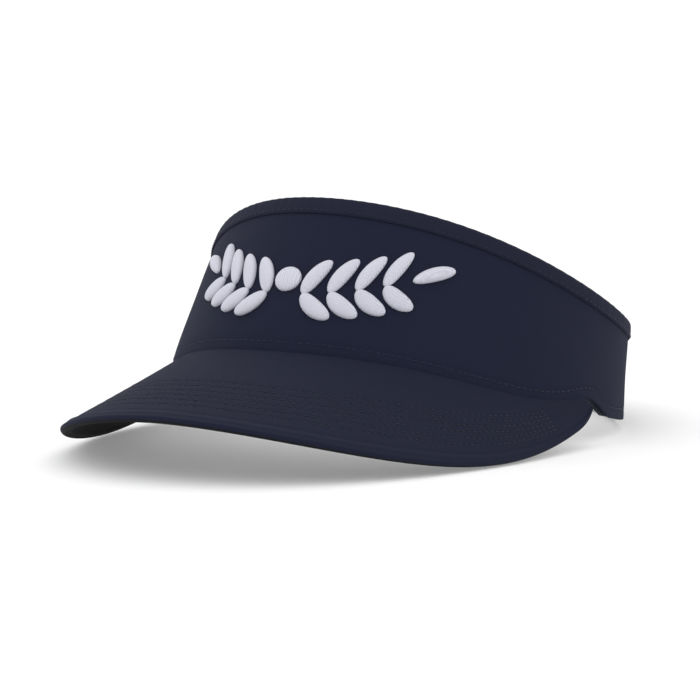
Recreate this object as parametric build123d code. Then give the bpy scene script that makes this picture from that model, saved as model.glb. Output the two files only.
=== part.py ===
from build123d import *
import math
import os

# Adjustable sun visor, in millimetres. +Z is up and -Y is the front, where the bill is.
# The origin is on the surface it rests on, under the middle of its box.

# Plan of the band: an oval at every height, which turns into a true arc behind the ears
BAND_FRONT_Y = -87.88
FRONT_LEAN = 0.600
FRONT_BOW = 0.0012
BAND_BACK_Y = 134.49
BACK_LEAN = 0.197
BAND_HALF_WIDTH = 84.3
SIDE_LEAN = -0.114
OVAL_SKEW = -0.042
OVAL_FULLNESS = -0.145
REAR_AXIS_Y = 66.65
REAR_RADIUS = 66.4
REAR_FLARE = 0.15
REAR_ARC_FROM = 115.0
REAR_ARC_FULL = 145.0

# Heights of the band's edges
TOP_FRONT = 89.9
TOP_SIDE = 52.2
TOP_BACK = 35.1
TOP_DIP = -10.5
TAIL_START = 17.0
TAIL_FROM = 80.0
TAIL_DROP_POWER = 3.5
TAIL_BLEND_FROM = 82.5
TAIL_BLEND_TO = 100.0

# Bill
BILL_ROOT_Y = -63.45
BILL_ROOT_Z = 37.9
BILL_PITCH = math.radians(12.67)
BILL_ARCH_RADIUS = 109.65
BILL_ARCH_EXTRA = 2.07
BILL_ARCH_EXTRA_AT = 80.0
BILL_HALF_WIDTH = 87.4
BILL_REACH = 145.9
BILL_WIDEST_Y = 9.65
BILL_TAIL = 60.0
BILL_SQUARENESS = 2.19
BILL_SPAN = 84.0
BILL_EDGE_SPAN = 103.0
BILL_RIM_LIFT = 1.2
BILL_COVER = 0.6
BILL_BOARD = 1.3
COVER_ROOT = 0.0
BOARD_ROOT = 0.04
UNDER_ROOT = 0.05
BOARD_INSET = 0.965
STITCH_ROWS = 6
FIRST_ROW = 0.48
LAST_ROW = 0.81
LAYER_GAP = 0.1

# Layers of the band, as depths under its outside face
SHELL = 0.8
BACKING = (0.9, 1.1)
STIFFENER = (1.2, 2.1)
ALLOWANCE = (0.9, 2.1)
ALLOWANCE_HEIGHT = 6.0
LINING = (2.2, 2.6)
FOAM = (2.7, 4.0)
SWEATBAND = (4.1, 4.8)
BAND_END = 161.5
STIFFENER_END = 58.0
INTERLINING_END = 128.0
SWEATBAND_HEIGHT = 31.0
SWEATBAND_END = 150.5
CAP_SOFTNESS = 6.0

# Trim
BINDING_HEIGHT = 5.4
BINDING_PROUD = 0.7
BINDING_WRAP = 0.65
THREAD_WIDTH = 0.5
THREAD_PROUD = 0.3
EDGE_STITCH_RISE = 3.5
BINDING_STITCH_RISE = 4.4

# Closure: a hook strap from the wearer's left over a loop tab from the wearer's right.
# Angles are round the rear arc, from the back centre towards the wearer's left.
STRAP_LOW = 6.0
STRAP_HIGH = 29.0
STRAP = (1.1, 1.9)
HOOK_PATCH = (1.9, 2.5)
LOOP_PATCH = (2.8, 3.5)
LOOP_TAB = (3.5, 4.3)
PEEL_ANGLE = 18.4
PEEL_GAP = 0.45
STRAP_TIP = -12.5
STRAP_ROOT_END = 40.0
HOOK_FROM = -11.0
HOOK_TO = 9.0
LOOP_FROM = -22.0
LOOP_TO = 13.0
LOOP_TAB_FROM = -33.0
PATCH_MARGIN = 2.0
TIP_ROUND = 7.0

# Emblem: two plain sprays of leaves about a ball, in raised embroidery along the front
EMBLEM_Z = 62.0
EMBLEM_SLOPE = 0.8
BACKING_REACH = 16.0
BALL = 10.0
STEM_FOOT = -6.0
STEM_RISE = 9.0
SPRAY_REACH = 58.0
LEAF_PAIRS = 4
LEAF_FROM = 7.5
LEAF_STEP = 9.5
LEAF_LENGTH = 15.5
LEAF_WIDTH = 6.2
LEAF_TURN = 52.0
LEAF_LIFT = 12.0
FOAM_RISE = 1.6
SATIN_RISE = 2.6
SATIN_EDGE = 0.4

COLUMNS = 73
SHEET_TOLERANCE = 0.06
SOFT_COLUMNS = 85
SOFT_TOLERANCE = 0.1
ROWS = 5


def smoothstep(t):
    t = min(1.0, max(0.0, t))
    return t * t * (3 - 2 * t)


def signed_power(value, power):
    return math.copysign(abs(value) ** power, value)


# ---- Band surface ----

def rear_radius(z):
    return REAR_RADIUS + REAR_FLARE * z


def plan_point(angle, z):
    """The band's outside at an angle in degrees (0 front, +90 wearer's left) and a height."""
    theta = math.radians(angle)
    front = BAND_FRONT_Y + FRONT_LEAN * z + FRONT_BOW * z * z
    back = BAND_BACK_Y + BACK_LEAN * z
    half_width = BAND_HALF_WIDTH + SIDE_LEAN * z
    c = math.cos(theta)
    x = half_width * math.sin(theta) * (1 + OVAL_SKEW * c + OVAL_FULLNESS * c * c)
    y = (back + front) / 2 - (back - front) / 2 * c
    share = smoothstep((abs(angle) - REAR_ARC_FROM) / (REAR_ARC_FULL - REAR_ARC_FROM))
    if share == 0:
        return Vector(x, y, z)
    turn = math.atan2(x, y - REAR_AXIS_Y)
    radius = math.hypot(x, y - REAR_AXIS_Y)
    radius += (rear_radius(z) - radius) * share
    return Vector(radius * math.sin(turn), REAR_AXIS_Y + radius * math.cos(turn), z)


def band_point(angle, z, depth):
    """A point under the band's outside face by depth, square to that face."""
    step = 0.01
    here = plan_point(angle, z)
    along = plan_point(angle + step, z) - here
    up = plan_point(angle, z + step) - here
    return here - along.cross(up).normalized() * depth


def top_edge(angle):
    c = math.cos(math.radians(angle))
    mean = (TOP_FRONT + TOP_BACK) / 2
    return (
        TOP_SIDE
        + (TOP_FRONT - TOP_BACK) / 2 * c
        + (mean - TOP_SIDE) * c * c
        + TOP_DIP * (c**3 - c)
    )


# ---- Bill surface ----

def bill_height(x, y):
    arch = BILL_ARCH_RADIUS - math.sqrt(BILL_ARCH_RADIUS**2 - x * x)
    arch += BILL_ARCH_EXTRA * (x / BILL_ARCH_EXTRA_AT) ** 4
    slope = math.tan(BILL_PITCH) * (y - BILL_ROOT_Y)
    return BILL_ROOT_Z + slope - arch / math.cos(BILL_PITCH)


def seam_edge(angle, depth=0.0):
    """Height on the band, at a depth, where it meets the top of the bill."""
    z = BILL_ROOT_Z
    for _ in range(16):
        point = band_point(angle, z, depth)
        z += 0.6 * (bill_height(point.X, point.Y) - point.Z)
    return z


def bottom_edge(angle, depth=0.0):
    """Lower edge of the band: the bill's seam in front, then down to the rest surface."""
    around = abs(angle)
    tail_share = (180.0 - around) / (180.0 - TAIL_FROM)
    tail = TAIL_START * tail_share**TAIL_DROP_POWER
    blend = smoothstep((around - TAIL_BLEND_FROM) / (TAIL_BLEND_TO - TAIL_BLEND_FROM))
    if blend == 1:
        return tail + LAYER_GAP
    return seam_edge(angle, depth) * (1 - blend) + tail * blend + LAYER_GAP


def bill_edge(angle):
    """Plan of the bill's rim, at an angle of its own: 0 front, 90 where it is widest."""
    turn = math.radians(angle)
    power = 2 / BILL_SQUARENESS
    x = BILL_HALF_WIDTH * signed_power(math.sin(turn), power)
    reach = BILL_REACH if math.cos(turn) > 0 else BILL_TAIL
    return x, BILL_WIDEST_Y - reach * signed_power(math.cos(turn), power)


def bill_point(angle, share, depth):
    """A point of the bill: share runs from the seam, 0, to the rim, 1."""
    root = band_point(angle, seam_edge(angle, SHELL), SHELL)
    rim_x, rim_y = bill_edge(angle * BILL_EDGE_SPAN / BILL_SPAN)
    x = root.X + (rim_x - root.X) * share
    y = root.Y + (rim_y - root.Y) * share
    step = 0.01
    here = Vector(x, y, bill_height(x, y))
    right = Vector(step, 0, bill_height(x + step, y) - here.Z)
    back = Vector(0, step, bill_height(x, y + step) - here.Z)
    lift = BILL_RIM_LIFT * share * share
    return here + right.cross(back).normalized() * (lift - depth)


# ---- Solids from two facing sheets ----

def even(start, end, count):
    return [start + (end - start) * i / (count - 1) for i in range(count)]


def sheet(point, us, vs, tolerance=SHEET_TOLERANCE):
    rows = [[point(u, v) for v in vs] for u in us]
    return Face.make_surface_from_array_of_points(rows, tol=tolerance, min_deg=3, max_deg=6)


def side_between(edge, other):
    mates = sorted(other.edges(), key=lambda e: (e @ 0.5 - edge @ 0.5).length)
    mate = mates[0]
    if (edge @ 0 - mate @ 0).length > (edge @ 0 - mate @ 1).length:
        mate = mate.reversed()
    return Face.make_surface_from_curves(edge, mate)


def slab(outside, inside, us, vs, tolerance=SHEET_TOLERANCE):
    """A closed solid between two sheets given as functions of u and v."""
    outer = sheet(outside, us, vs, tolerance)
    inner = sheet(inside, us, vs, tolerance)
    sides = [side_between(edge, inner) for edge in outer.edges()]
    solid = Solid(Shell([outer, inner] + sides))
    if solid.volume < 0:
        solid = Solid(solid.wrapped.Reversed())
    return solid


def band_layer(
    start, end, low, high, depths, columns=COLUMNS, rows=ROWS, tolerance=SHEET_TOLERANCE
):
    """Part of the band between two angles, two edges and two depths."""
    def face(depth):
        def point(angle, share):
            bottom = low(angle, depth)
            return band_point(angle, bottom + (high(angle) - bottom) * share, depth)
        return point
    us = even(start, end, columns)
    return slab(face(depths[0]), face(depths[1]), us, even(0, 1, rows), tolerance)


def bill_layer(shares, depths, span=BILL_SPAN, columns=COLUMNS, rows=ROWS):
    def face(depth):
        return lambda angle, share: bill_point(angle, share, depth)
    us = even(-span, span, columns)
    return slab(face(depths[0]), face(depths[1]), us, even(shares[0], shares[1], rows))


def rear_point(angle, z, depth):
    """A point on the rear arc's cone: angle from the back centre to the wearer's left."""
    turn = math.radians(angle)
    lean = math.atan(REAR_FLARE)
    radius = rear_radius(z) - depth * math.cos(lean)
    height = z + depth * math.sin(lean)
    return Vector(radius * math.sin(turn), REAR_AXIS_Y + radius * math.cos(turn), height)


def rear_layer(start, end, low, high, depths, columns=25, rows=4):
    """A strap piece on the rear arc; low and high are heights as functions of the angle."""
    def face(depth):
        def point(angle, share):
            z = low(angle) + (high(angle) - low(angle)) * share
            return rear_point(angle, z, depth)
        return point
    return slab(face(depths[0]), face(depths[1]), even(start, end, columns), even(0, 1, rows))


def at(height):
    return lambda angle: height


# ---- Crown ----

def below_top(drop):
    return lambda angle: top_edge(angle) - drop


def above_bottom(rise):
    return lambda angle, depth: bottom_edge(angle, depth) + rise


def crown_shell():
    return band_layer(
        -BAND_END, BAND_END, bottom_edge, below_top(BINDING_WRAP + LAYER_GAP), (0, SHELL)
    )


def crown_lining():
    low = above_bottom(0.6)
    return band_layer(-BAND_END, BAND_END, low, below_top(BINDING_WRAP + LAYER_GAP), LINING)


def front_stiffener():
    low = above_bottom(ALLOWANCE_HEIGHT + 0.3)
    high = below_top(1.5)
    return band_layer(-STIFFENER_END, STIFFENER_END, low, high, STIFFENER)


def side_interlining(side):
    low = above_bottom(ALLOWANCE_HEIGHT + 0.3)
    start, end = sorted((side * (STIFFENER_END + 1), side * INTERLINING_END))
    return band_layer(start, end, low, below_top(1.5), STIFFENER, columns=37)


def top_binding():
    """A folded tape over the band's top edge: a ring with a groove for the layers."""
    ring = band_layer(
        -BAND_END,
        BAND_END,
        lambda angle, depth: top_edge(angle) - BINDING_HEIGHT,
        below_top(0),
        (-BINDING_PROUD, LINING[1] + BINDING_PROUD),
        rows=4,
    )
    groove = band_layer(
        -BAND_END - 1,
        BAND_END + 1,
        lambda angle, depth: top_edge(angle) - BINDING_HEIGHT - 2,
        below_top(BINDING_WRAP),
        (-LAYER_GAP, LINING[1] + LAYER_GAP),
        rows=4,
    )
    return ring - groove


def band_thread(start, end, height, base, columns=COLUMNS):
    """A line of thread lying on a face at depth base, at a height along the band."""
    def low(angle, depth):
        return height(angle) - THREAD_WIDTH / 2
    def high(angle):
        return height(angle) + THREAD_WIDTH / 2
    return band_layer(start, end, low, high, (base - THREAD_PROUD, base), columns, rows=4)


def binding_stitch():
    height = below_top(BINDING_STITCH_RISE)
    return band_thread(-BAND_END + 1, BAND_END - 1, height, -BINDING_PROUD - 0.01)


def crown_edge_stitch():
    height = lambda angle: bottom_edge(angle) + EDGE_STITCH_RISE
    return band_thread(-BAND_END + 1, BAND_END - 1, height, -0.01)


def tail_stitch(side):
    """Two lines that close the end of the band, one above the other."""
    start, end = sorted((side * (BAND_END - 1.2), side * (BAND_END - 8)))
    lines = []
    for level in (9.0, 27.0):
        lines.append(band_thread(start, end, at(level), -0.01, columns=9))
    return Compound(lines)


# ---- Sweatband ----

def sweatband_face():
    low = above_bottom(0.4)
    high = lambda angle: bottom_edge(angle) + SWEATBAND_HEIGHT
    end = SWEATBAND_END
    return band_layer(-end, end, low, capped(high), SWEATBAND, SOFT_COLUMNS, 5, SOFT_TOLERANCE)


def capped(height):
    """Keeps a height on the band under the binding's lower edge, with a soft change-over."""
    def lower_of_two(angle):
        wanted = height(angle)
        limit = top_edge(angle) - BINDING_HEIGHT - 1.0
        return (wanted + limit - math.hypot(wanted - limit, CAP_SOFTNESS)) / 2
    return lower_of_two


def sweatband_foam():
    low = above_bottom(2.0)
    high = capped(lambda angle: bottom_edge(angle) + SWEATBAND_HEIGHT - 3)
    end = SWEATBAND_END - 3
    return band_layer(-end, end, low, high, FOAM, SOFT_COLUMNS, 5, SOFT_TOLERANCE)


def sweatband_stitch():
    height = lambda angle: capped(lambda a: bottom_edge(a) + SWEATBAND_HEIGHT)(angle) - 2.0
    base = SWEATBAND[1] + THREAD_PROUD + 0.01
    return band_thread(-SWEATBAND_END + 1, SWEATBAND_END - 1, height, base)


def inner_label(angle, width, height, level):
    """A blank woven label that lies on the inside of the sweatband."""
    base = SWEATBAND[1] + 0.15
    half = width / 2
    low = lambda a, depth: level
    return band_layer(
        angle - half, angle + half, low, at(level + height), (base, base + 0.35), 9, 4
    )


# ---- Bill ----

def bill_depths(start, thickness):
    return start, start + thickness


BOARD_START = BILL_COVER + LAYER_GAP
UNDER_START = BOARD_START + BILL_BOARD + LAYER_GAP
UNDER_END = UNDER_START + BILL_COVER


def bill_cover_top():
    return bill_layer((COVER_ROOT, 1.0), (0.0, BILL_COVER))


def bill_board():
    shares = (BOARD_ROOT, BOARD_INSET)
    return bill_layer(shares, bill_depths(BOARD_START, BILL_BOARD), BILL_SPAN - 3)


def bill_rim_seam():
    """The turned seam allowance that fills the rim between the covers."""
    shares = (BOARD_INSET + 0.006, 0.998)
    return bill_layer(shares, bill_depths(BOARD_START, BILL_BOARD), BILL_SPAN - 8, columns=41)


def bill_cover_under():
    return bill_layer((UNDER_ROOT, 1.0), (UNDER_START, UNDER_END))


def bill_stitch_rows(depths):
    """Lines of thread across the bill, evenly spaced, each on one face of it."""
    lines = []
    for share in even(FIRST_ROW, LAST_ROW, STITCH_ROWS):
        half = THREAD_WIDTH / 2 / (BILL_REACH / 2)
        shares = (share - half, share + half)
        lines.append(bill_layer(shares, depths, BILL_SPAN - 8, columns=49, rows=4))
    return Compound(lines)


def bill_seam_allowance():
    """The bill's turned-up edge, sewn behind the foot of the crown."""
    low = above_bottom(-UNDER_END)
    high = lambda angle: bottom_edge(angle) + ALLOWANCE_HEIGHT
    end = BILL_SPAN - 3
    return band_layer(-end, end, low, high, ALLOWANCE)


# ---- Emblem ----

def arc_angle(distance):
    """Angle on the band at a distance from the front centre, measured round the emblem."""
    angle = 0.0
    step = 0.5 if distance > 0 else -0.5
    left = abs(distance)
    while left > 0:
        run = (plan_point(angle + step, EMBLEM_Z) - plan_point(angle, EMBLEM_Z)).length
        angle += step * min(1.0, left / run)
        left -= run
    return angle


def stroke(path, width, end_share):
    """A raised stroke: path gives its centre line for 0 to 1, in mm round and up."""
    def across(t):
        x0, h0 = path(max(0.0, t - 0.01))
        x1, h1 = path(min(1.0, t + 0.01))
        length = math.hypot(x1 - x0, h1 - h0)
        return -(h1 - h0) / length, (x1 - x0) / length
    def half(t):
        end = min(1.0, min(t, 1 - t) / end_share)
        return width / 2 * max(0.3, math.sqrt(1 - (1 - end) ** 2))
    def face(edge, middle):
        def point(t, v):
            x, h = path(t)
            nx, nh = across(t)
            x += nx * half(t) * v
            h += nh * half(t) * v
            swell = math.sqrt(max(0.0, 1 - v * v)) * half(t) / (width / 2)
            rise = edge + (middle - edge) * swell
            return band_point(arc_angle(x), EMBLEM_Z + h * EMBLEM_SLOPE, -rise)
        return point
    ts = [0.5 - 0.5 * math.cos(math.pi * i / 16) for i in range(17)]
    vs = [-1, -0.85, -0.5, 0, 0.5, 0.85, 1]
    return face, ts, vs


def straight(start, end):
    return lambda t: (start[0] + (end[0] - start[0]) * t, start[1] + (end[1] - start[1]) * t)


def stem_level(x):
    """Height of a spray's stem at a distance from the middle."""
    return STEM_FOOT + STEM_RISE * (abs(x) / SPRAY_REACH) ** 2


def leaf(side, x, turn):
    """A leaf from the stem at x, turned up or down from the stem's direction."""
    start = side * x, stem_level(x)
    slope = math.radians(turn)
    tip = side * (x + LEAF_LENGTH * math.cos(slope)), start[1] + LEAF_LENGTH * math.sin(slope)
    return stroke(straight(start, tip), LEAF_WIDTH, 0.5)


def emblem_strokes():
    """Two sprays of leaves that grow away from a ball in the middle."""
    strokes = [stroke(straight((-BALL / 2, 0), (BALL / 2, 0)), BALL, 0.5)]
    for side in (-1, 1):
        for i in range(LEAF_PAIRS):
            x = LEAF_FROM + LEAF_STEP * i
            strokes.append(leaf(side, x, LEAF_TURN + LEAF_LIFT))
            strokes.append(leaf(side, x, LEAF_LIFT - LEAF_TURN))
        strokes.append(leaf(side, LEAF_FROM + LEAF_STEP * LEAF_PAIRS, LEAF_LIFT))
    return strokes


def emblem_satin():
    pads = []
    for face, ts, vs in emblem_strokes():
        pads.append(slab(face(SATIN_EDGE, SATIN_RISE), face(0.05, FOAM_RISE + 0.05), ts, vs))
    return Compound(pads)


def emblem_foam():
    pads = []
    for face, ts, vs in emblem_strokes():
        pads.append(slab(face(0.03, FOAM_RISE), face(0.01, 0.02), ts[1:-1], vs[1:-1]))
    return Compound(pads)


def emblem_backing():
    low = lambda angle, depth: EMBLEM_Z - BACKING_REACH
    return band_layer(-44, 44, low, at(EMBLEM_Z + BACKING_REACH), BACKING)


# ---- Closure ----

def strap_low(angle):
    """Lower edge of the hook strap, which rounds up at its tip."""
    inward = max(0.0, 1 - (angle - STRAP_TIP) / 6.0)
    return STRAP_LOW + TIP_ROUND * (1 - math.sqrt(max(0.0, 1 - inward * inward)))


def strap_high(angle):
    return STRAP_HIGH - (strap_low(angle) - STRAP_LOW)


def arc_degrees(length):
    return math.degrees(length / rear_radius(STRAP_LOW))


def hook_strap():
    end = PEEL_ANGLE - arc_degrees(PEEL_GAP)
    return rear_layer(STRAP_TIP, end, strap_low, strap_high, STRAP, columns=33)


def hook_strap_root():
    start = PEEL_ANGLE + arc_degrees(PEEL_GAP)
    return rear_layer(start, STRAP_ROOT_END, at(STRAP_LOW), at(STRAP_HIGH), STRAP)


def hook_patch():
    low = at(STRAP_LOW + PATCH_MARGIN + TIP_ROUND / 2)
    high = at(STRAP_HIGH - PATCH_MARGIN - TIP_ROUND / 2)
    return rear_layer(HOOK_FROM, HOOK_TO, low, high, HOOK_PATCH)


def strap_stitch():
    """Lines of thread along the strap's two long edges, on its outside."""
    lines = []
    for level in (STRAP_LOW + 2.0, STRAP_HIGH - 2.0):
        low = at(level - THREAD_WIDTH / 2)
        high = at(level + THREAD_WIDTH / 2)
        depths = (STRAP[0] - THREAD_PROUD - 0.01, STRAP[0] - 0.01)
        lines.append(rear_layer(STRAP_TIP + 4, PEEL_ANGLE - 5, low, high, depths))
    return Compound(lines)


def loop_tab():
    low = at(STRAP_LOW + 1)
    high = at(STRAP_HIGH - 1)
    return rear_layer(LOOP_TAB_FROM, LOOP_TO + 1.5, low, high, LOOP_TAB)


def loop_patch():
    low = at(STRAP_LOW + PATCH_MARGIN)
    high = at(STRAP_HIGH - PATCH_MARGIN)
    return rear_layer(LOOP_FROM, LOOP_TO, low, high, LOOP_PATCH)


PARTS = {
    "crown_shell": crown_shell,
    "crown_lining": crown_lining,
    "front_stiffener": front_stiffener,
    "side_interlining_left": lambda: side_interlining(1),
    "side_interlining_right": lambda: side_interlining(-1),
    "top_binding": top_binding,
    "binding_stitch": binding_stitch,
    "crown_edge_stitch": crown_edge_stitch,
    "tail_stitch_left": lambda: tail_stitch(1),
    "tail_stitch_right": lambda: tail_stitch(-1),
    "sweatband_face": sweatband_face,
    "sweatband_foam": sweatband_foam,
    "sweatband_stitch": sweatband_stitch,
    "size_label": lambda: inner_label(137, 9, 14, 9),
    "care_label": lambda: inner_label(-134, 12, 18, 8),
    "bill_cover_top": bill_cover_top,
    "bill_board": bill_board,
    "bill_rim_seam": bill_rim_seam,
    "bill_cover_under": bill_cover_under,
    "bill_stitch_top": lambda: bill_stitch_rows((-THREAD_PROUD, -0.01)),
    "bill_stitch_under": lambda: bill_stitch_rows((UNDER_END + 0.01, UNDER_END + THREAD_PROUD)),
    "bill_seam_allowance": bill_seam_allowance,
    "emblem_satin": emblem_satin,
    "emblem_foam": emblem_foam,
    "emblem_backing": emblem_backing,
    "hook_strap": hook_strap,
    "hook_strap_root": hook_strap_root,
    "hook_patch": hook_patch,
    "strap_stitch": strap_stitch,
    "loop_tab": loop_tab,
    "loop_patch": loop_patch,
}

os.makedirs("parts", exist_ok=True)
for name, make in PARTS.items():
    export_step(make(), f"parts/{name}.step")
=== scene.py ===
import math

import bpy
import numpy as np
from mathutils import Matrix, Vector


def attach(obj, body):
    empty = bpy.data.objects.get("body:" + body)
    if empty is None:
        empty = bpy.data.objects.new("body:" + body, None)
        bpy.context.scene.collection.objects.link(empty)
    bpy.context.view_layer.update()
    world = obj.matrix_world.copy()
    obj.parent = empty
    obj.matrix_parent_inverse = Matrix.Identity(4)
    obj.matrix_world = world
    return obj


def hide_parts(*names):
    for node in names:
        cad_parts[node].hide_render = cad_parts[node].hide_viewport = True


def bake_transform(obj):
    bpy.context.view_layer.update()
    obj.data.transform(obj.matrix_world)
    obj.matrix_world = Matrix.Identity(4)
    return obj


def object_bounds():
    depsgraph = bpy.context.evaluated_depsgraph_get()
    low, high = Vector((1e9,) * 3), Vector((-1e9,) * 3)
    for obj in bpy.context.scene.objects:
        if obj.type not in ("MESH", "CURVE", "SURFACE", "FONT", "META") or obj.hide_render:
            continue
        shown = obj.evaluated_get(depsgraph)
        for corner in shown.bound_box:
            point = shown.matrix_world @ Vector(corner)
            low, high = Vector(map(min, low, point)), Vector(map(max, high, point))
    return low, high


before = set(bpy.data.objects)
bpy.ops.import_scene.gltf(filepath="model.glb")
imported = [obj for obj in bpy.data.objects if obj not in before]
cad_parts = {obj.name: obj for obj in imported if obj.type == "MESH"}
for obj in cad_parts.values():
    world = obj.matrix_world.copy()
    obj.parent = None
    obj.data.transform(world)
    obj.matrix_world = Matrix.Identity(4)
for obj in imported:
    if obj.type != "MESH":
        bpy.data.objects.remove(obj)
cad_low, cad_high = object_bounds()

# The surfaces below are in millimetres, in the frame's own axes: -Y front, +X wearer's left, +Z up.
MM = 0.001

# Plan of the band
BAND_FRONT_Y, FRONT_LEAN, FRONT_BOW = -87.88, 0.600, 0.0012
BAND_BACK_Y, BACK_LEAN = 134.49, 0.197
BAND_HALF_WIDTH, SIDE_LEAN = 84.3, -0.114
OVAL_SKEW, OVAL_FULLNESS = -0.042, -0.145
REAR_AXIS_Y, REAR_RADIUS, REAR_FLARE = 66.65, 66.4, 0.15
REAR_ARC_FROM, REAR_ARC_FULL = 115.0, 145.0
BAND_END = 161.5

# Edges of the band
TOP_FRONT, TOP_SIDE, TOP_BACK, TOP_DIP = 89.9, 52.2, 35.1, -10.5
TAIL_START, TAIL_FROM, TAIL_DROP_POWER = 17.0, 80.0, 3.5
TAIL_BLEND_FROM, TAIL_BLEND_TO = 82.5, 100.0

# Bill
BILL_ROOT_Y, BILL_ROOT_Z, BILL_PITCH = -63.45, 37.9, math.radians(12.67)
BILL_ARCH_RADIUS, BILL_ARCH_EXTRA, BILL_ARCH_EXTRA_AT = 109.65, 2.07, 80.0
BILL_HALF_WIDTH, BILL_REACH, BILL_WIDEST_Y, BILL_TAIL = 87.4, 145.9, 9.65, 60.0
BILL_SQUARENESS, BILL_SPAN, BILL_EDGE_SPAN = 2.19, 84.0, 103.0
BILL_RIM_LIFT = 1.2
BILL_THICKNESS = 2.7
ROW_SHARES = np.linspace(0.48, 0.81, 6)

# Layers under the band's outside face
SHELL = 0.8
LINING = (2.2, 2.6)
SWEATBAND = (2.7, 5.0)
SWEATBAND_HEIGHT = 31.0
SWEATBAND_END = 150.5
BINDING_HEIGHT = 5.4
TUCK, TUCK_REACH = 1.0, 1.7
EDGE_STITCH_RISE = 3.5

# Closure, in degrees round the rear arc from the back centre
STRAP_LOW, STRAP_HIGH, STRAP_TIP, PEEL_ANGLE = 6.0, 29.0, -12.5, 18.4
STRAP_ROOT_END = 40.0
STRAP = (1.1, 1.9)

# Emblem
EMBLEM_Z, EMBLEM_SLOPE = 62.0, 0.8
BALL = 10.0
ROW_SPAN = 71.0
SATIN_EDGE, SATIN_RISE = 0.3, 2.6
STEM_FOOT, STEM_RISE, SPRAY_REACH = -6.0, 9.0, 58.0
LEAF_PAIRS, LEAF_FROM, LEAF_STEP = 4, 7.5, 9.5
LEAF_LENGTH, LEAF_WIDTH, LEAF_TURN, LEAF_LIFT = 15.5, 6.2, 52.0, 12.0


# ---------------------------------------------------------------- surfaces

def smooth(t):
    t = np.clip(t, 0, 1)
    return t * t * (3 - 2 * t)


def plan(angle, z):
    theta = np.radians(angle)
    c = np.cos(theta)
    front = BAND_FRONT_Y + FRONT_LEAN * z + FRONT_BOW * z * z
    back = BAND_BACK_Y + BACK_LEAN * z
    x = (BAND_HALF_WIDTH + SIDE_LEAN * z) * np.sin(theta)
    x = x * (1 + OVAL_SKEW * c + OVAL_FULLNESS * c * c)
    y = (back + front) / 2 - (back - front) / 2 * c
    share = smooth((np.abs(angle) - REAR_ARC_FROM) / (REAR_ARC_FULL - REAR_ARC_FROM))
    turn = np.arctan2(x, y - REAR_AXIS_Y)
    radius = np.hypot(x, y - REAR_AXIS_Y)
    radius = radius + (REAR_RADIUS + REAR_FLARE * z - radius) * share
    arc_x = radius * np.sin(turn)
    arc_y = REAR_AXIS_Y + radius * np.cos(turn)
    return np.stack([np.where(share > 0, arc_x, x), np.where(share > 0, arc_y, y), z], -1)


def unit(v):
    return v / np.linalg.norm(v, axis=-1, keepdims=True)


def band(angle, z, depth):
    """Points under the band's outside face by depth, for arrays of angle, height and depth."""
    angle, z, depth = np.broadcast_arrays(*[np.asarray(a, float) for a in (angle, z, depth)])
    step = 0.01
    here = plan(angle, z)
    along = plan(angle + step, z) - here
    up = plan(angle, z + step) - here
    return here - unit(np.cross(along, up)) * depth[..., None]


def top_edge(angle):
    c = np.cos(np.radians(angle))
    mean = (TOP_FRONT + TOP_BACK) / 2
    swing = (TOP_FRONT - TOP_BACK) / 2
    return TOP_SIDE + swing * c + (mean - TOP_SIDE) * c * c + TOP_DIP * (c**3 - c)


def bill_height(x, y):
    arch = BILL_ARCH_RADIUS - np.sqrt(BILL_ARCH_RADIUS**2 - x * x)
    arch = arch + BILL_ARCH_EXTRA * (x / BILL_ARCH_EXTRA_AT) ** 4
    slope = math.tan(BILL_PITCH) * (y - BILL_ROOT_Y)
    return BILL_ROOT_Z + slope - arch / math.cos(BILL_PITCH)


def seam_edge(angle, depth=0.0):
    angle = np.asarray(angle, float)
    z = np.full(angle.shape, BILL_ROOT_Z)
    for _ in range(16):
        p = band(angle, z, depth)
        z = z + 0.6 * (bill_height(p[..., 0], p[..., 1]) - p[..., 2])
    return z


def bottom_edge(angle, depth=0.0):
    around = np.abs(angle)
    tail = TAIL_START * np.clip((180 - around) / (180 - TAIL_FROM), 0, 2) ** TAIL_DROP_POWER
    blend = smooth((around - TAIL_BLEND_FROM) / (TAIL_BLEND_TO - TAIL_BLEND_FROM))
    front = seam_edge(np.clip(angle, -100, 100), depth)
    return front * (1 - blend) + tail * blend + 0.1


def signed_power(value, power):
    return np.sign(value) * np.abs(value) ** power


def bill(angle, share, depth):
    """Points of the bill: share 0 at the seam, 1 at the rim, depth under its top."""
    angle, share, depth = np.broadcast_arrays(*[np.asarray(a, float) for a in (angle, share, depth)])
    root = band(angle, seam_edge(angle, SHELL + 1.9), SHELL + 1.9)
    turn = np.radians(angle * BILL_EDGE_SPAN / BILL_SPAN)
    power = 2 / BILL_SQUARENESS
    rim_x = BILL_HALF_WIDTH * signed_power(np.sin(turn), power)
    reach = np.where(np.cos(turn) > 0, BILL_REACH, BILL_TAIL)
    rim_y = BILL_WIDEST_Y - reach * signed_power(np.cos(turn), power)
    x = root[..., 0] + (rim_x - root[..., 0]) * share
    y = root[..., 1] + (rim_y - root[..., 1]) * share
    step = 0.01
    z = bill_height(x, y)
    slope_x = (bill_height(x + step, y) - z) / step
    slope_y = (bill_height(x, y + step) - z) / step
    normal = unit(np.stack([-slope_x, -slope_y, np.ones_like(z)], -1))
    lift = BILL_RIM_LIFT * np.clip(share, 0, 1) ** 2
    return np.stack([x, y, z], -1) + normal * (lift - depth)[..., None]


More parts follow.
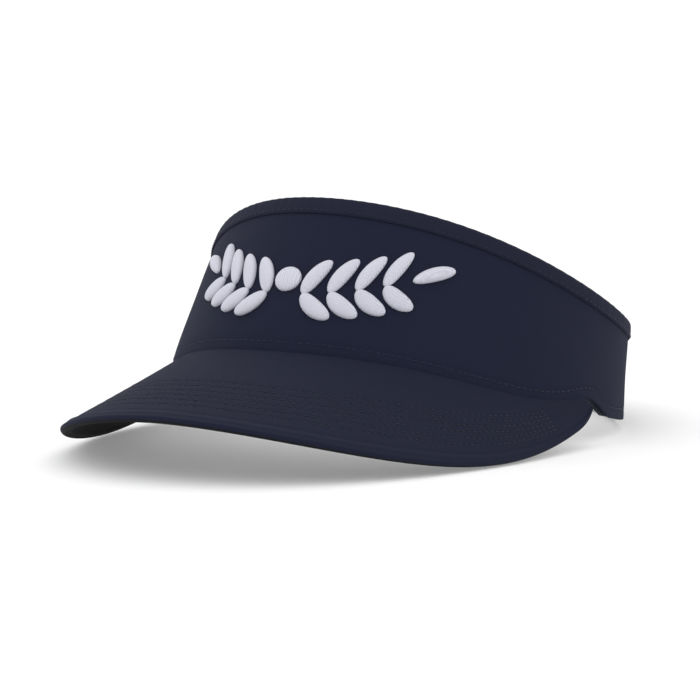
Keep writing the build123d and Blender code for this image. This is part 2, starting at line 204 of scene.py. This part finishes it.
def rear(angle, z, depth):
    angle, z, depth = np.broadcast_arrays(*[np.asarray(a, float) for a in (angle, z, depth)])
    turn = np.radians(angle)
    lean = math.atan(REAR_FLARE)
    radius = REAR_RADIUS + REAR_FLARE * z - depth * math.cos(lean)
    x = radius * np.sin(turn)
    y = REAR_AXIS_Y + radius * np.cos(turn)
    return np.stack([x, y, z + depth * math.sin(lean)], -1)


# ---------------------------------------------------------------- mesh helpers

def lofted(name, points, closed=True):
    """A mesh through a grid of points in mm, (stations, profile, 3); a closed profile gets caps."""
    stations, around = points.shape[:2]
    mesh = bpy.data.meshes.new(name)
    index = np.arange(stations * around).reshape(stations, around)
    last = around if closed else around - 1
    faces = []
    for j in range(last):
        k = (j + 1) % around
        quads = np.stack([index[:-1, j], index[1:, j], index[1:, k], index[:-1, k]], -1)
        faces.extend(quads.tolist())
    if closed:
        faces.append(index[0].tolist())
        faces.append(index[-1][::-1].tolist())
    mesh.from_pydata((points.reshape(-1, 3) * MM).tolist(), [], faces)
    lay_uv(mesh, points, index)
    mesh.polygons.foreach_set("use_smooth", [True] * len(mesh.polygons))
    piece = bpy.data.objects.new(name, mesh)
    bpy.context.scene.collection.objects.link(piece)
    make_normals_face_out(piece)
    return piece


def lay_uv(mesh, points, index):
    """UV in millimetres of cloth: u along the stations, v round the profile."""
    middle = points[:, points.shape[1] // 4]
    u = np.concatenate([[0], np.cumsum(np.linalg.norm(np.diff(middle, axis=0), axis=1))])
    ring = points[points.shape[0] // 2]
    v = np.concatenate([[0], np.cumsum(np.linalg.norm(np.diff(ring, axis=0), axis=1))])
    grid_u = np.repeat(u[:, None], points.shape[1], 1).ravel()
    grid_v = np.repeat(v[None, :], points.shape[0], 0).ravel()
    layer = mesh.uv_layers.new(name="cloth")
    loops = np.empty(len(mesh.loops), int)
    mesh.loops.foreach_get("vertex_index", loops)
    layer.data.foreach_set("uv", np.stack([grid_u[loops], grid_v[loops]], -1).ravel())


def make_normals_face_out(piece):
    import bmesh
    shape = bmesh.new()
    shape.from_mesh(piece.data)
    bmesh.ops.recalc_face_normals(shape, faces=shape.faces)
    shape.to_mesh(piece.data)
    shape.free()


def finished(piece, body, slot, material, *nodes):
    piece.data.materials.append(material)
    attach(piece, body)
    if nodes:
        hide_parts(*nodes)
    return piece


def closed_profile(low_to_high, outer, inner, bulge=0.35):
    """Depth and share pairs for a thin layer: up its outside, down its inside, with soft edges."""
    middle = (outer + inner) / 2
    shares = np.concatenate([low_to_high, [low_to_high[-1]], low_to_high[::-1], [low_to_high[0]]])
    depths = np.concatenate([
        np.full(len(low_to_high), outer),
        [middle],
        np.full(len(low_to_high), inner),
        [middle],
    ])
    edge = np.zeros(len(shares))
    edge[len(low_to_high)] = bulge
    edge[-1] = -bulge
    return shares, depths, edge


# ---------------------------------------------------------------- materials

def new_material(name, color, roughness):
    material = bpy.data.materials.new(name)
    material.use_nodes = True
    nodes = material.node_tree.nodes
    shader = nodes["Principled BSDF"]
    shader.inputs["Roughness"].default_value = roughness
    shader.inputs["Base Color"].default_value = (*color, 1)
    shader.inputs["Specular IOR Level"].default_value = 0.18
    return material, nodes, material.node_tree.links, shader


def math_node(nodes, links, operation, first, second=None):
    node = nodes.new("ShaderNodeMath")
    node.operation = operation
    for socket, value in zip(node.inputs, (first, second)):
        if value is None:
            continue
        if isinstance(value, (int, float)):
            socket.default_value = value
        else:
            links.new(value, socket)
    return node.outputs[0]


def mixed(nodes, links, factor, low, high):
    node = nodes.new("ShaderNodeMix")
    node.data_type = "RGBA"
    links.new(factor, node.inputs[0])
    node.inputs[6].default_value = (*low, 1)
    node.inputs[7].default_value = (*high, 1)
    return node.outputs[2]


def woven(name, color, pitch=0.62, contrast=0.16, relief=0.00012, sheen=0.05, roughness=0.9):
    """Twill: diagonal ribs of yarn crossed by finer yarns, with slub and lint variation."""
    material, nodes, links, shader = new_material(name, color, roughness)
    uv = nodes.new("ShaderNodeUVMap")
    uv.uv_map = "cloth"
    split = nodes.new("ShaderNodeSeparateXYZ")
    links.new(uv.outputs[0], split.inputs[0])
    u, v = split.outputs[0], split.outputs[1]
    turn = 2 * math.pi / pitch
    rib = math_node(nodes, links, "SINE", math_node(
        nodes, links, "MULTIPLY", math_node(nodes, links, "ADD", u, v), turn * 0.7071))
    yarn = math_node(nodes, links, "SINE", math_node(nodes, links, "MULTIPLY", u, turn * 1.9))
    weave = math_node(nodes, links, "ADD", rib, math_node(nodes, links, "MULTIPLY", yarn, 0.5))
    weave = math_node(nodes, links, "MULTIPLY_ADD", weave, 0.33)
    weave.node.inputs[2].default_value = 0.5
    lint = nodes.new("ShaderNodeTexNoise")
    lint.inputs["Scale"].default_value = 900
    lint.inputs["Detail"].default_value = 4
    shade = nodes.new("ShaderNodeTexNoise")
    shade.inputs["Scale"].default_value = 38
    shade.inputs["Detail"].default_value = 3
    place = nodes.new("ShaderNodeTexCoord")
    links.new(place.outputs["Object"], lint.inputs["Vector"])
    links.new(place.outputs["Object"], shade.inputs["Vector"])
    tone = math_node(nodes, links, "MULTIPLY", weave, 0.4)
    tone = math_node(nodes, links, "ADD", tone, math_node(
        nodes, links, "MULTIPLY", lint.outputs["Fac"], 0.35))
    tone = math_node(nodes, links, "ADD", tone, math_node(
        nodes, links, "MULTIPLY", shade.outputs["Fac"], 0.25))
    dark = tuple(c * (1 - contrast) for c in color)
    light = tuple(c * (1 + contrast) for c in color)
    links.new(mixed(nodes, links, tone, dark, light), shader.inputs["Base Color"])
    height = math_node(nodes, links, "ADD", weave, math_node(
        nodes, links, "MULTIPLY", lint.outputs["Fac"], 0.8))
    bump = nodes.new("ShaderNodeBump")
    bump.inputs["Strength"].default_value = 0.55
    bump.inputs["Distance"].default_value = relief
    links.new(height, bump.inputs["Height"])
    links.new(bump.outputs[0], shader.inputs["Normal"])
    shader.inputs["Sheen Weight"].default_value = sheen
    shader.inputs["Sheen Roughness"].default_value = 0.5
    shader.inputs["Sheen Tint"].default_value = (*[min(1, c * 9) for c in color], 1)
    return material


def fuzzy(name, color, scale, relief, sheen=0.12, contrast=0.3):
    """Pile: terry loops, or the loop side of the fastener."""
    material, nodes, links, shader = new_material(name, color, 0.95)
    place = nodes.new("ShaderNodeTexCoord")
    loops = nodes.new("ShaderNodeTexVoronoi")
    loops.inputs["Scale"].default_value = scale
    tuft = nodes.new("ShaderNodeTexNoise")
    tuft.inputs["Scale"].default_value = scale * 0.8
    tuft.inputs["Detail"].default_value = 5
    links.new(place.outputs["Object"], loops.inputs["Vector"])
    links.new(place.outputs["Object"], tuft.inputs["Vector"])
    height = math_node(nodes, links, "SUBTRACT", tuft.outputs["Fac"], loops.outputs["Distance"])
    dark = tuple(c * (1 - contrast) for c in color)
    light = tuple(c * (1 + contrast) for c in color)
    links.new(mixed(nodes, links, tuft.outputs["Fac"], dark, light), shader.inputs["Base Color"])
    bump = nodes.new("ShaderNodeBump")
    bump.inputs["Strength"].default_value = 0.9
    bump.inputs["Distance"].default_value = relief
    links.new(height, bump.inputs["Height"])
    links.new(bump.outputs[0], shader.inputs["Normal"])
    shader.inputs["Sheen Weight"].default_value = sheen
    return material


def twisted_thread(name, color, roughness=0.55):
    """Spun thread with a slanting twist; used for every row of stitches."""
    material, nodes, links, shader = new_material(name, color, roughness)
    place = nodes.new("ShaderNodeTexCoord")
    ply = nodes.new("ShaderNodeTexWave")
    ply.inputs["Scale"].default_value = 900
    ply.inputs["Distortion"].default_value = 1.5
    links.new(place.outputs["Object"], ply.inputs["Vector"])
    dark = tuple(c * 0.8 for c in color)
    light = tuple(min(1, c * 1.2) for c in color)
    links.new(mixed(nodes, links, ply.outputs["Fac"], dark, light), shader.inputs["Base Color"])
    bump = nodes.new("ShaderNodeBump")
    bump.inputs["Strength"].default_value = 0.4
    bump.inputs["Distance"].default_value = 0.00005
    links.new(ply.outputs["Fac"], bump.inputs["Height"])
    links.new(bump.outputs[0], shader.inputs["Normal"])
    shader.inputs["Sheen Weight"].default_value = 0.15
    return material


NAVY = (0.0086, 0.0106, 0.0272)
NAVY_BILL = (0.0086, 0.0105, 0.0262)
shell_cloth = woven("navy_twill", NAVY)
bill_cloth = woven("navy_bill_twill", NAVY_BILL)
binding_cloth = woven("navy_tape", (0.0106, 0.0120, 0.0275), pitch=0.5, contrast=0.12)
lining_cloth = woven("lining_cloth", (0.015, 0.018, 0.034), pitch=0.8, roughness=0.8)
black_cloth = woven("black_twill", (0.0065, 0.0068, 0.0085), contrast=0.2, sheen=0.03)
terry = fuzzy("terry_pile", (0.013, 0.015, 0.026), 1400, 0.0004)
loop_pile = fuzzy("loop_pile", (0.012, 0.014, 0.025), 1000, 0.0005)
hook_field = fuzzy("hook_field", (0.010, 0.011, 0.018), 1500, 0.0004, sheen=0.05)
label_cloth = woven("label_satin", (0.62, 0.62, 0.60), pitch=0.4, contrast=0.06, sheen=0.1)
navy_thread = twisted_thread("navy_thread", (0.0125, 0.0150, 0.0330), roughness=0.7)
white_thread = twisted_thread("white_satin_thread", (0.60, 0.60, 0.68), roughness=0.45)


# ---------------------------------------------------------------- crown

def ripple(angle, height):
    """Slight unevenness of cloth over a soft backing, in mm."""
    slow = 0.16 * np.sin(angle * 0.11 + height * 0.05) * np.sin(height * 0.09 + angle * 0.03)
    quick = 0.05 * np.sin(angle * 0.41 + 1.3) * np.sin(height * 0.27 + angle * 0.13)
    return slow + quick


def tucked(angle, rise):
    """The crown's foot pulls in where it is sewn to the bill."""
    at_bill = 1 - smooth((np.abs(angle) - 70) / 20)
    return TUCK * np.exp(-np.clip(rise, 0, 100) / TUCK_REACH) * at_bill


def crown_groove(angle, rise):
    """The line of topstitching presses the cloth in, and puckers it a little."""
    pucker = 1 + 0.5 * np.sin(np.asarray(angle) * 4.1)
    return 0.22 * np.exp(-(((rise - EDGE_STITCH_RISE) / 0.7) ** 2)) * pucker


def crown_skin(angle, rise, depth):
    """A point of the crown at a rise over its foot, with tuck, ripple and groove."""
    z = bottom_edge(angle) + rise
    give = tucked(angle, rise) + crown_groove(angle, rise) - ripple(angle, z)
    fade = smooth((z - top_edge(angle) + BINDING_HEIGHT + 4) / 5)
    return band(angle, z, depth + give * (1 - fade))


def crown_fabric():
    angle = np.linspace(-BAND_END, BAND_END, 420)[:, None]
    tall = top_edge(angle) - bottom_edge(angle) - 0.9
    shares, depths, edge = closed_profile(np.linspace(0, 1, 34), 0.0, SHELL, bulge=0.25)
    rise = shares[None, :] ** 1.35 * tall + edge[None, :]
    piece = lofted("crown_fabric", crown_skin(angle, rise, depths[None, :]))
    finished(piece, "visor", "shell_fabric", shell_cloth, "crown_shell")
    return piece


def crown_lining():
    angle = np.linspace(-BAND_END, BAND_END, 240)[:, None]
    low = bottom_edge(angle) + 0.6
    tall = top_edge(angle) - low - 0.9
    shares, depths, edge = closed_profile(np.linspace(0, 1, 12), *LINING, bulge=0.1)
    points = band(angle, low + shares[None, :] * tall + edge[None, :], depths[None, :])
    piece = lofted("lining_cloth_panel", points)
    finished(piece, "visor", "lining", lining_cloth, "crown_lining")


def top_binding():
    """Folded tape over the top edge: a rounded fold with legs that stand a little proud."""
    outside = [(-0.12, -5.45), (-0.50, -5.4), (-0.78, -4.9), (-0.85, -3.8), (-0.85, -2.4), (-0.82, -1.2)]
    fold = [(-0.62, -0.35), (0.0, 0.12), (0.9, 0.25), (1.8, 0.2), (2.8, -0.1), (3.25, -0.7)]
    inside = [(3.35, -1.6), (3.4, -3.2), (3.42, -4.4), (3.2, -5.1), (2.8, -5.3), (2.62, -4.9)]
    return_up = [(2.65, -1.2), (1.3, -0.85), (-0.05, -1.1), (-0.05, -5.2)]
    profile = np.array(outside + fold + inside + return_up)
    angle = np.linspace(-BAND_END, BAND_END, 420)[:, None]
    wave = 0.10 * np.sin(angle * 1.7) + 0.06 * np.sin(angle * 4.3 + 0.6)
    swell = np.where(profile[:, 0] < -0.3, 1.0, 0.0)[None, :]
    depth = profile[None, :, 0] - wave * swell * 0.5
    points = band(angle, top_edge(angle) + profile[None, :, 1] + wave * 0.4, depth)
    piece = lofted("top_binding_tape", points)
    finished(piece, "visor", "binding_fabric", binding_cloth, "top_binding")


# ---------------------------------------------------------------- sweatband

def soft_min(a, b, softness=6.0):
    return (a + b - np.hypot(a - b, softness)) / 2


def sweatband_top(angle):
    return soft_min(bottom_edge(angle) + SWEATBAND_HEIGHT, top_edge(angle) - BINDING_HEIGHT - 1)


def sweatband():
    """Foam-backed terry: plump between its two hems, with a soft roll along each edge."""
    angle = np.linspace(-SWEATBAND_END, SWEATBAND_END, 360)[:, None]
    low = bottom_edge(angle) + 0.6
    tall = sweatband_top(angle) - low
    share = np.linspace(0, 1, 22)
    hem = 1 - 0.55 * np.exp(-(((share - 0.93) / 0.03) ** 2)) - 0.4 * np.exp(-(((share - 0.06) / 0.03) ** 2))
    plump = np.clip(np.sin(np.pi * np.clip(share, 0.02, 0.98)), 0, 1) ** 0.25 * hem
    thick = (SWEATBAND[1] - SWEATBAND[0]) * plump
    shares = np.concatenate([share, share[::-1][1:-1]])
    depths = np.concatenate([SWEATBAND[0] + thick, np.full(20, SWEATBAND[0])])
    lump = 0.12 * np.sin(angle * 0.9) * np.sin(angle * 0.37 + 1)
    inward = np.concatenate([thick, np.zeros(20)])[None, :] > 0.4
    points = band(angle, low + shares[None, :] * tall, depths[None, :] + lump * inward)
    piece = lofted("sweatband_pad", points)
    finished(piece, "visor", "terry", terry, "sweatband_face", "sweatband_foam")


# ---------------------------------------------------------------- bill

def row_relief(share, angle):
    """Each stitch row pulls the cover down into a fine groove."""
    sink = np.zeros(np.broadcast(share, angle).shape)
    for row in ROW_SHARES:
        sink = sink + 0.22 * np.exp(-(((share - row) / 0.010) ** 2))
    fade = 1 - smooth((np.abs(angle) - ROW_SPAN + 2) / 4)
    return sink * fade


def rim_relief(share):
    """The seam allowance inside the rim shows as a low ridge."""
    ridge = 0.28 * np.exp(-(((share - 0.945) / 0.018) ** 2))
    return 0.18 * np.exp(-(((share - 0.905) / 0.012) ** 2)) - ridge


def bill_cover(name, under):
    """One cover of the bill: out to the rim, round it to the seam line, and back inside."""
    angle = np.linspace(-BILL_SPAN, BILL_SPAN, 320)[:, None]
    rows = np.linspace(0.46, 0.84, 96)
    flat = np.concatenate([np.linspace(0, 0.44, 16), rows, np.linspace(0.86, 0.985, 18)])
    roll = np.linspace(0, math.pi / 2, 8)[1:]
    half = BILL_THICKNESS / 2
    reach = 0.985 + 0.015 * np.sin(roll)
    share = np.concatenate([flat, reach, reach[::-1] - 0.008, flat[::-8]])
    outer = np.zeros(len(flat))
    turn = half * (1 - np.cos(roll))
    inner = np.concatenate([turn[::-1] + 0.45 * np.cos(roll[::-1]), np.full(len(flat[::-8]), 0.6)])
    depth = np.concatenate([outer, turn, inner])
    relief = row_relief(share[None, :], angle) + rim_relief(share)[None, :]
    relief = relief * (np.arange(len(share)) < len(flat))[None, :]
    grain = 0.05 * np.sin(angle * 0.9 + share[None, :] * 14) * np.sin(share[None, :] * 31 + angle * 0.2)
    along = depth[None, :] + relief + grain * (np.arange(len(share)) < len(flat))[None, :]
    along = np.minimum(along, half - 0.02)
    if under:
        along = BILL_THICKNESS - along
    return lofted(name, bill(angle, share[None, :], along))


def bill_covers():
    top = bill_cover("bill_top_cloth", under=False)
    finished(top, "visor", "bill_fabric", bill_cloth, "bill_cover_top", "bill_rim_seam")
    below = bill_cover("bill_under_cloth", under=True)
    finished(below, "visor", "under_fabric", black_cloth, "bill_cover_under")


# ---------------------------------------------------------------- stitches

def stitch_mesh(name, lines, thickness, length=2.1, gap=0.7, arch=0.22):
    """Rows of single stitches. Each line is (points, normals) along a seam, in mm."""
    ring = 6
    spans = np.array([0.0, 0.12, 0.35, 0.65, 0.88, 1.0])
    fat = np.array([0.35, 0.8, 1.0, 1.0, 0.8, 0.35])
    high = np.array([-0.5, 0.15, 0.9, 0.9, 0.15, -0.5]) * arch
    turns = np.linspace(0, 2 * math.pi, ring, endpoint=False)
    verts, faces = [], []
    for points, normals in lines:
        run = np.concatenate([[0], np.cumsum(np.linalg.norm(np.diff(points, axis=0), axis=1))])
        count = int(run[-1] / (length + gap))
        for i in range(count):
            start = i * (length + gap) + gap / 2
            where = start + spans * length
            p = np.stack([np.interp(where, run, points[:, k]) for k in range(3)], -1)
            n = unit(np.stack([np.interp(where, run, normals[:, k]) for k in range(3)], -1))
            ahead = unit(p[-1:] - p[:1])
            side = unit(np.cross(np.repeat(ahead, len(n), 0), n))
            centre = p + n * high[:, None]
            base = len(verts)
            for k in range(len(spans)):
                r = thickness / 2 * fat[k]
                for turn in turns:
                    verts.append(centre[k] + side[k] * r * math.cos(turn) + n[k] * r * math.sin(turn))
            for k in range(len(spans) - 1):
                for j in range(ring):
                    a = base + k * ring + j
                    b = base + k * ring + (j + 1) % ring
                    faces.append((a, b, b + ring, a + ring))
            faces.append([base + j for j in range(ring)][::-1])
            faces.append([base + (len(spans) - 1) * ring + j for j in range(ring)])
    mesh = bpy.data.meshes.new(name)
    mesh.from_pydata((np.array(verts) * MM).tolist(), [], faces)
    mesh.polygons.foreach_set("use_smooth", [True] * len(mesh.polygons))
    piece = bpy.data.objects.new(name, mesh)
    bpy.context.scene.collection.objects.link(piece)
    make_normals_face_out(piece)
    return piece


def surface_line(surface, first, second, depth):
    """Points and outward normals along a line on one of the surfaces above."""
    points = surface(first, second, np.full(len(first), depth))
    above = surface(first, second, np.full(len(first), depth - 0.1))
    return points, unit(above - points)


def crown_line(start, end, rise, lift=0.0):
    angle = np.linspace(start, end, 500)
    height = rise(angle) - bottom_edge(angle)
    points = crown_skin(angle, height, -lift)
    above = crown_skin(angle, height, -lift - 0.1)
    return points, unit(above - points)


def sewn(name, lines, thickness, node):
    finished(stitch_mesh(name, lines, thickness), "visor", "thread", navy_thread, node)


def stitches():
    edge = crown_line(-BAND_END + 1, BAND_END - 1, lambda a: bottom_edge(a) + EDGE_STITCH_RISE)
    sewn("crown_edge_stitches", [edge], 0.34, "crown_edge_stitch")
    angle = np.linspace(-BAND_END + 1, BAND_END - 1, 500)
    tape = surface_line(band, angle, top_edge(angle) - 4.5, -0.74)
    sewn("binding_stitches", [tape], 0.30, "binding_stitch")
    angle = np.linspace(-SWEATBAND_END + 1, SWEATBAND_END - 1, 500)
    low = bottom_edge(angle) + 0.6
    hem = low + (sweatband_top(angle) - low) * 0.93
    inner = band(angle, hem, SWEATBAND[1] - 0.95)
    inward = unit(band(angle, hem, SWEATBAND[1]) - inner)
    sewn("sweatband_stitches", [(inner, inward)], 0.42, "sweatband_stitch")
    span = np.linspace(-ROW_SPAN, ROW_SPAN, 500)
    rows = [surface_line(bill, span, np.full(500, row), 0.22) for row in ROW_SHARES]
    sewn("bill_top_stitches", rows, 0.32, "bill_stitch_top")
    rows = []
    for row in ROW_SHARES:
        points, normals = surface_line(bill, span, np.full(500, row), BILL_THICKNESS - 0.20)
        rows.append((points, -normals))
    sewn("bill_under_stitches", rows, 0.32, "bill_stitch_under")
    for side, label in ((1, "left"), (-1, "right")):
        lines = []
        for turn in (BAND_END - 1.6, BAND_END - 3.4):
            tall = np.linspace(3.0, 29.0, 60)
            lines.append(surface_line(band, np.full(60, side * turn), tall, -0.03))
        sewn(f"tail_stitches_{label}", lines, 0.42, f"tail_stitch_{label}")


# ---------------------------------------------------------------- emblem

def arc_table():
    """Distance round the front at the emblem's middle, for angles out to 90 degrees."""
    angle = np.linspace(-90, 90, 1801)
    points = plan(angle, np.full(1801, EMBLEM_Z))
    run = np.concatenate([[0], np.cumsum(np.linalg.norm(np.diff(points, axis=0), axis=1))])
    return run - run[900], angle


def satin_stroke(path, width, thread=0.55):
    """Points of a raised satin stroke: a rounded pad with threads side by side across it."""
    t = np.linspace(0, 1, 200)
    x, h = path(t)
    length = np.concatenate([[0], np.cumsum(np.hypot(np.diff(x), np.diff(h)))])
    count = int(length[-1] / thread * 5)
    along = np.linspace(0, length[-1], count)
    even = np.interp(along, length, t)
    x, h = path(even)
    dx, dh = np.gradient(x), np.gradient(h)
    size = np.hypot(dx, dh)
    blunt = np.sqrt(np.clip(1 - (1 - np.minimum(along, along[::-1]) / length[-1] * 2) ** 2, 0.01, 1))
    half = width / 2 * blunt
    groove = 0.5 + 0.5 * np.cos(2 * np.pi * along / thread)
    top = np.sin(np.linspace(-math.pi / 2, math.pi / 2, 17))
    v = np.concatenate([top, [0.9, 0.3, -0.3, -0.9]])
    outside = (np.arange(21) < 17)[None, :]
    dome = np.sqrt(np.clip(1 - v * v, 0, 1))[None, :] ** 0.8
    rise = SATIN_EDGE + (SATIN_RISE - SATIN_EDGE) * (blunt**0.8)[:, None] * dome
    rise = np.where(outside, rise - 0.20 * groove[:, None] ** 2, -0.15)
    offset = v[None, :] * half[:, None]
    s = x[:, None] - dh[:, None] / size[:, None] * offset
    up = h[:, None] + dx[:, None] / size[:, None] * offset
    run, angle = arc_table()
    return band(np.interp(s, run, angle), EMBLEM_Z + up * EMBLEM_SLOPE, -rise)


def straight(start, end):
    return lambda t: (start[0] + (end[0] - start[0]) * t, start[1] + (end[1] - start[1]) * t)


def leaf(side, x, turn):
    """A leaf's centre line, bowed a little, from the spray's stem at x."""
    level = STEM_FOOT + STEM_RISE * (x / SPRAY_REACH) ** 2
    slope = math.radians(turn)
    reach = LEAF_LENGTH
    def path(t):
        bow = 0.9 * np.sin(math.pi * t) * np.sign(math.sin(slope))
        out = x + reach * t * math.cos(slope) - bow * math.sin(slope)
        return side * out, level + reach * t * math.sin(slope) + bow * math.cos(slope)
    return path


def emblem():
    """Two plain sprays of leaves about a ball, in puff embroidery."""
    strokes = {"emblem_ball": satin_stroke(straight((-BALL / 2, 0), (BALL / 2, 0)), BALL)}
    for side, label in ((1, "left"), (-1, "right")):
        for i in range(LEAF_PAIRS):
            x = LEAF_FROM + LEAF_STEP * i
            strokes[f"emblem_upper_leaf_{label}_{i}"] = satin_stroke(
                leaf(side, x, LEAF_LIFT + LEAF_TURN), LEAF_WIDTH)
            strokes[f"emblem_lower_leaf_{label}_{i}"] = satin_stroke(
                leaf(side, x, LEAF_LIFT - LEAF_TURN), LEAF_WIDTH)
        end = LEAF_FROM + LEAF_STEP * LEAF_PAIRS
        strokes[f"emblem_tip_leaf_{label}"] = satin_stroke(leaf(side, end, LEAF_LIFT), LEAF_WIDTH)
    for name, points in strokes.items():
        piece = finished(lofted(name, points), "visor", "satin", white_thread)
        if name == "emblem_ball":
            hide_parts("emblem_satin", "emblem_foam")


# ---------------------------------------------------------------- closure

def strap_shape(name, start, end, low, high, outer, inner, tip_round=0.0, count=90):
    """A strap on the rear arc, with a rounded tip at its start and softly rounded edges."""
    angle = np.linspace(start, end, count)[:, None]
    inward = np.clip(1 - (angle - start) / 6.0, 0, 1)
    trim = tip_round * (1 - np.sqrt(np.clip(1 - inward**2, 0, 1)))
    shares = np.array([0.0, 0.012, 0.05, 0.25, 0.5, 0.75, 0.95, 0.988, 1.0, 1.0, 0.988, 0.5, 0.012, 0.0])
    swell = np.array([0.25, 0.05, 0, 0, 0, 0, 0, 0.05, 0.25, -0.25, -0.05, 0, -0.05, -0.25])
    depth = np.where(np.arange(14) < 9, outer, inner) + swell * (inner - outer)
    z = (low + trim) + (high - low - 2 * trim) * shares[None, :]
    return lofted(name, rear(angle, z, depth[None, :]))


def closure():
    strap = strap_shape(
        "hook_strap_cloth", STRAP_TIP, STRAP_ROOT_END, STRAP_LOW, STRAP_HIGH, *STRAP, 7.0, 150)
    strap.data.materials.append(shell_cloth)
    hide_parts("hook_strap", "hook_strap_root")
    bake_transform(strap)
    hooks = strap_shape("hook_pad", -11.0, 9.0, 11.5, 23.5, 1.92, 2.5, 2.0, 40)
    finished(hooks, "strap_flap", "hook", hook_field, "hook_patch")
    tab = strap_shape("loop_tab_cloth", -33.0, 14.5, STRAP_LOW + 1, STRAP_HIGH - 1, 3.5, 4.3)
    finished(tab, "visor", "shell_fabric", shell_cloth, "loop_tab")
    pile = strap_shape("loop_pad", -22.0, 13.0, STRAP_LOW + 2, STRAP_HIGH - 2, 2.85, 3.48)
    finished(pile, "visor", "loop", loop_pile, "loop_patch")
    lines = []
    for level in (STRAP_LOW + 2.0, STRAP_HIGH - 2.0):
        turn = np.linspace(STRAP_TIP + 4, PEEL_ANGLE - 4, 80)
        lines.append(surface_line(rear, turn, np.full(80, level), STRAP[0] - 0.03))
    thread = stitch_mesh("strap_stitches", lines, 0.42)
    finished(thread, "strap_flap", "thread", navy_thread, "strap_stitch")


def labels():
    for name, node, angle, width, level, height in (
        ("blank_size_label", "size_label", 137, 9, 9, 14),
        ("blank_care_label", "care_label", -134, 12, 8, 18),
    ):
        turn = np.linspace(angle - width / 2, angle + width / 2, 24)[:, None]
        inner, outer = SWEATBAND[1] + 0.35, SWEATBAND[1] + 0.05
        shares, depths, edge = closed_profile(np.linspace(0, 1, 12), inner, outer, 0.05)
        z = level + shares[None, :] * height + edge[None, :]
        piece = lofted(name, band(turn, z, depths[None, :]))
        finished(piece, "visor", "label", label_cloth, node)


def hidden_layers():
    """Materials for the CAD pieces that keep their own shape inside the layers above."""
    buckram = woven("buckram", (0.020, 0.021, 0.026), pitch=1.2, contrast=0.25)
    plastic = new_material("board_plastic", (0.016, 0.017, 0.021), 0.6)[0]
    for node, material in (
        ("front_stiffener", buckram),
        ("side_interlining_left", buckram),
        ("side_interlining_right", buckram),
        ("bill_seam_allowance", shell_cloth),
        ("emblem_backing", shell_cloth),
        ("bill_board", plastic),
    ):
        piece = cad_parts[node]
        piece.data.materials.clear()
        piece.data.materials.append(material)


# ---------------------------------------------------------------- camera, floor and light

def camera():
    aim = Vector((0, -3.35, 40.7)) * MM
    azimuth, elevation, distance = math.radians(29.79), math.radians(5.92), 1.490
    out = Vector((
        math.sin(azimuth) * math.cos(elevation),
        -math.cos(azimuth) * math.cos(elevation),
        math.sin(elevation),
    ))
    data = bpy.data.cameras.new("camera")
    data.lens = 209.7
    data.sensor_width = 36
    data.shift_x = 0.0025
    data.shift_y = -0.0308
    eye = bpy.data.objects.new("camera", data)
    eye.location = aim + out * distance
    eye.rotation_euler = out.to_track_quat("Z", "Y").to_euler()
    bpy.context.scene.collection.objects.link(eye)
    bpy.context.scene.camera = eye


def floor():
    mesh = bpy.data.meshes.new("floor")
    size = 12.0
    corners = [(-size, -size, 0), (size, -size, 0), (size, size, 0), (-size, size, 0)]
    mesh.from_pydata(corners, [], [(0, 1, 2, 3)])
    ground = bpy.data.objects.new("floor", mesh)
    ground.location.z = cad_low.z - 0.0002
    bpy.context.scene.collection.objects.link(ground)
    paper, nodes, links, shader = new_material("pale_paper", (0.80, 0.80, 0.80), 0.9)
    shader.inputs["Emission Color"].default_value = (1, 1, 1, 1)
    shader.inputs["Emission Strength"].default_value = 0.18
    ground.data.materials.append(paper)


def area_light(name, place, size, power):
    data = bpy.data.lights.new(name, "AREA")
    data.energy = power
    data.size = size
    lamp = bpy.data.objects.new(name, data)
    lamp.location = place
    aim = Vector((0, 0, 0.04)) - Vector(place)
    lamp.rotation_euler = aim.to_track_quat("-Z", "Y").to_euler()
    bpy.context.scene.collection.objects.link(lamp)


def lights():
    world = bpy.data.worlds.new("studio")
    world.use_nodes = True
    world.node_tree.nodes["Background"].inputs[0].default_value = (1, 1, 1, 1)
    world.node_tree.nodes["Background"].inputs[1].default_value = 1.06
    bpy.context.scene.world = world
    area_light("key", (-0.7, -1.3, 1.8), 1.6, 4)
    area_light("fill", (1.2, -1.2, 1.2), 1.6, 1.5)
    area_light("top", (0.1, 0.2, 1.9), 1.6, 2)


camera()
floor()
lights()
crown_fabric()
crown_lining()
top_binding()
sweatband()
bill_covers()
stitches()
emblem()
closure()
labels()
hidden_layers()

bpy.context.scene.view_settings.view_transform = "Standard"
